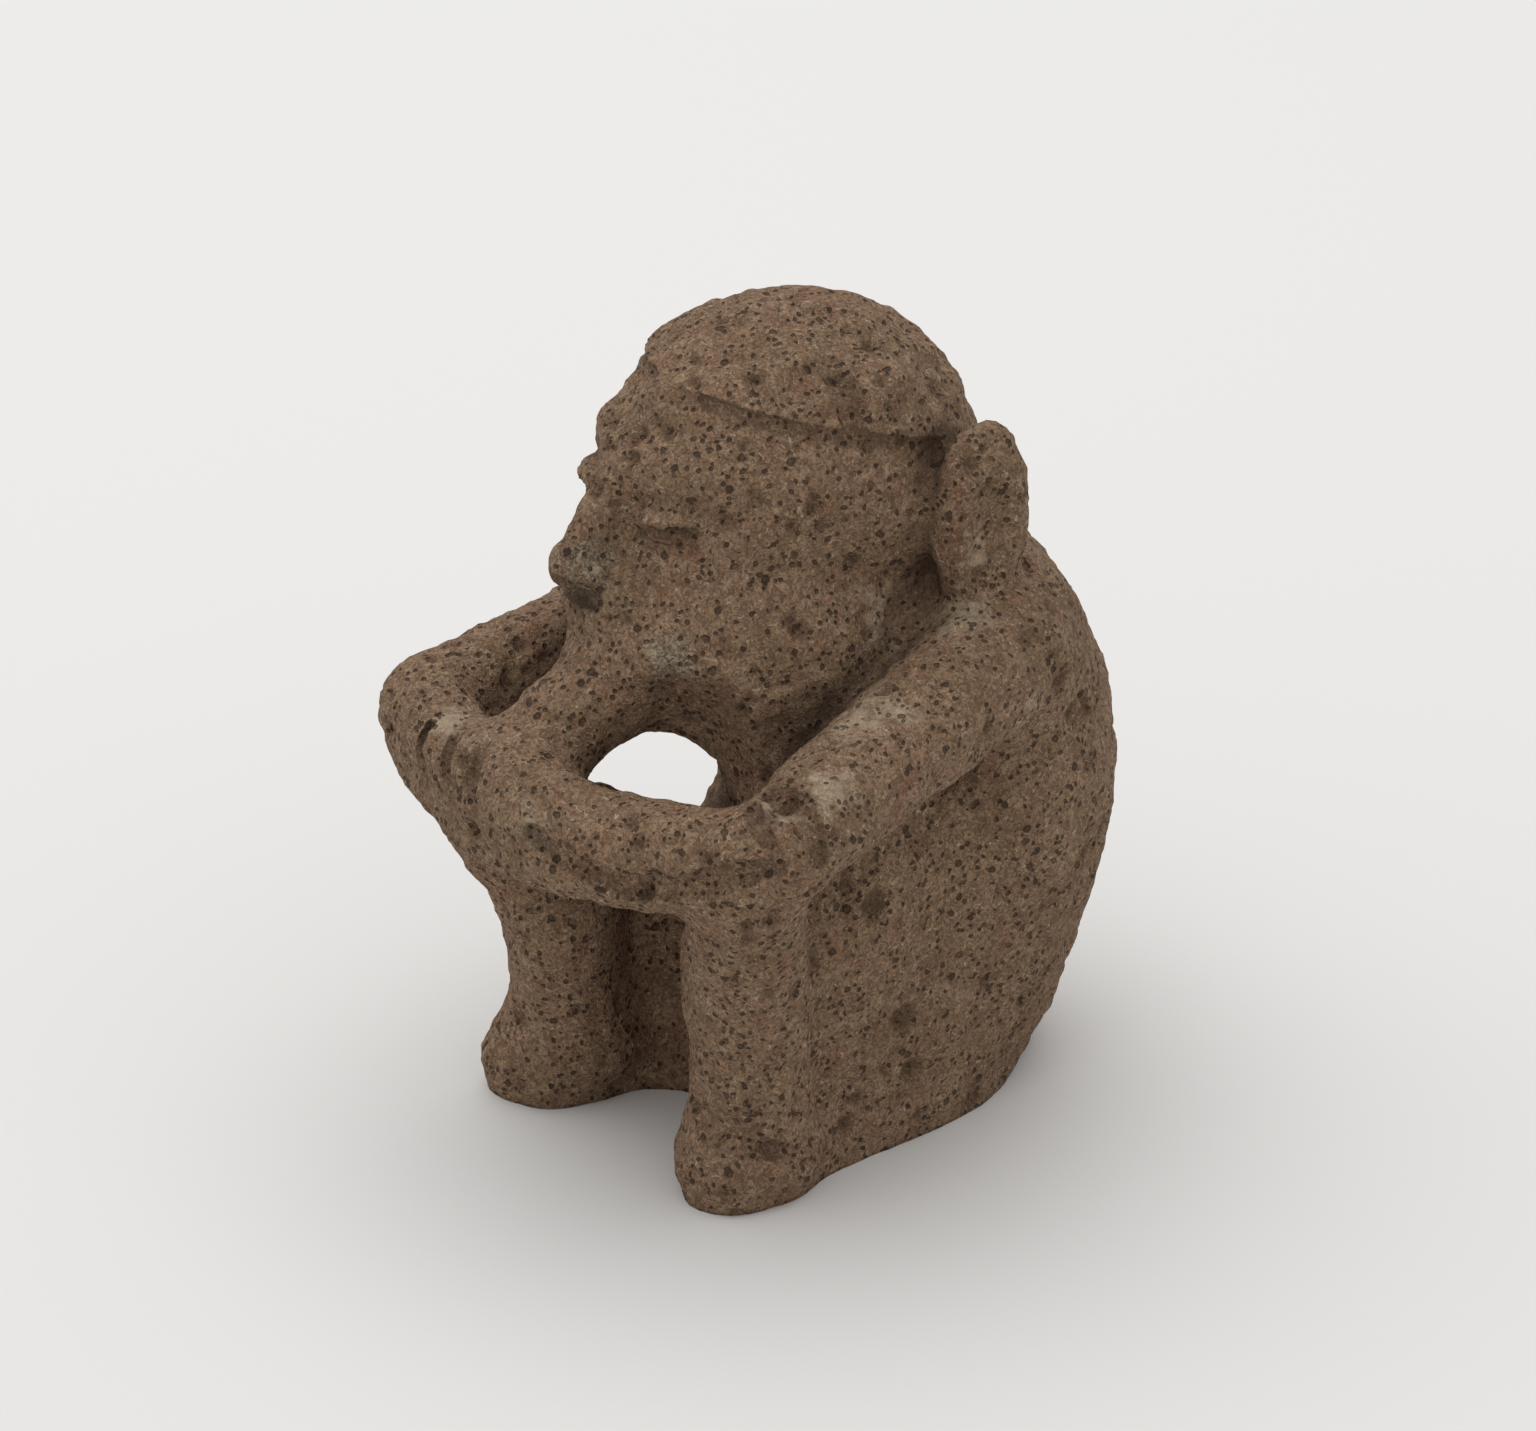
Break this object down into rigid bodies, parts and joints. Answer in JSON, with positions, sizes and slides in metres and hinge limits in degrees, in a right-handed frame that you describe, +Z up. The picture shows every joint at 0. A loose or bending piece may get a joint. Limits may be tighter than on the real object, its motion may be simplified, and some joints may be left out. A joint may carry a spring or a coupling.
{
  "type": "seated stone figure",
  "caption": "Small squatting figure carved in porous stone, knees drawn up, forearms folded across them and chin joined to the arms.",
  "frame": {"origin": "on the ground, under the middle of the figure's bounding box", "axes": "+Z up, the figure faces -Y, its left hand is +X"},
  "size_m": [0.0746, 0.0943, 0.1101],
  "materials": {
    "stone": "rough porous carved stone, unpolished"
  },
  "bodies": {
    "root": {"seated_figure": "stone"}
  },
  "joints": []
}
